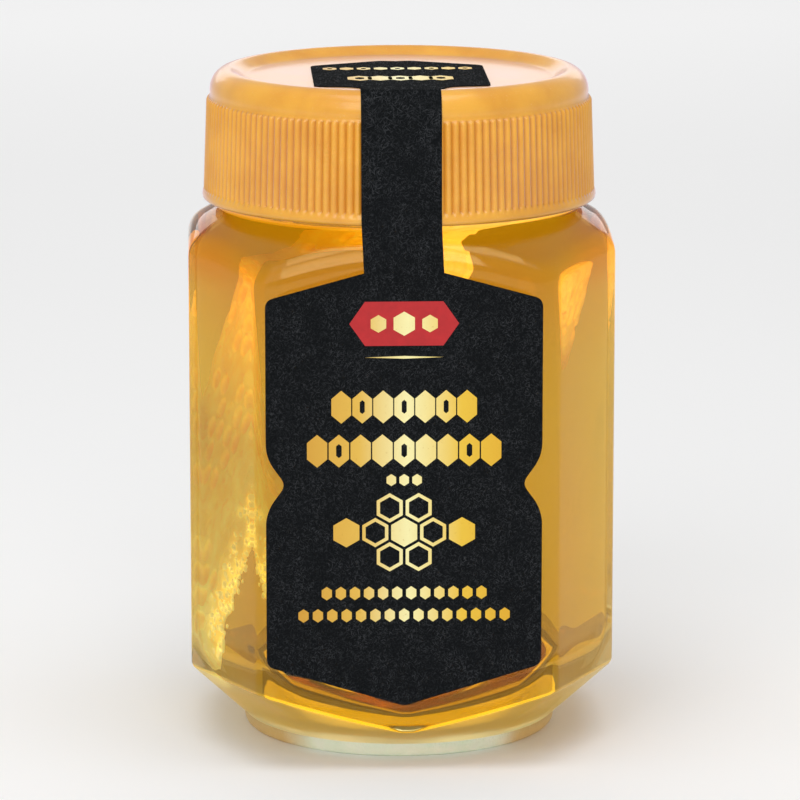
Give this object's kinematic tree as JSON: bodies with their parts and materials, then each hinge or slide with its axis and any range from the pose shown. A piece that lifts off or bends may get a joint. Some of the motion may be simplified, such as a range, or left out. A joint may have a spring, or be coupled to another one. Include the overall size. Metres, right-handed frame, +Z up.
{
  "type": "jar of honey with honeycomb",
  "caption": "Shut faceted glass jar of honey with a leaning piece of honeycomb, a ribbed golden screw lid and a black seal label from the front panel over the lid.",
  "frame": {"origin": "centre of the jar's base, on the surface that it stands on", "axes": "+Z up along the jar's axis, -Y out of the front panel that carries the label"},
  "size_m": [0.078, 0.0758, 0.124],
  "materials": {
    "jar": "clear moulded glass, faintly green in the thick base",
    "honey": "clear golden amber honey",
    "comb": "pale yellow beeswax, cut edges crumbly",
    "lid": "pearly golden orange moulded plastic, satin",
    "label": "near-black felt-textured paper printed with gold foil and red"
  },
  "bodies": {
    "root": {"jar": "jar", "honey": "honey", "comb": "comb", "lid": "lid", "label": "label"}
  },
  "joints": []
}
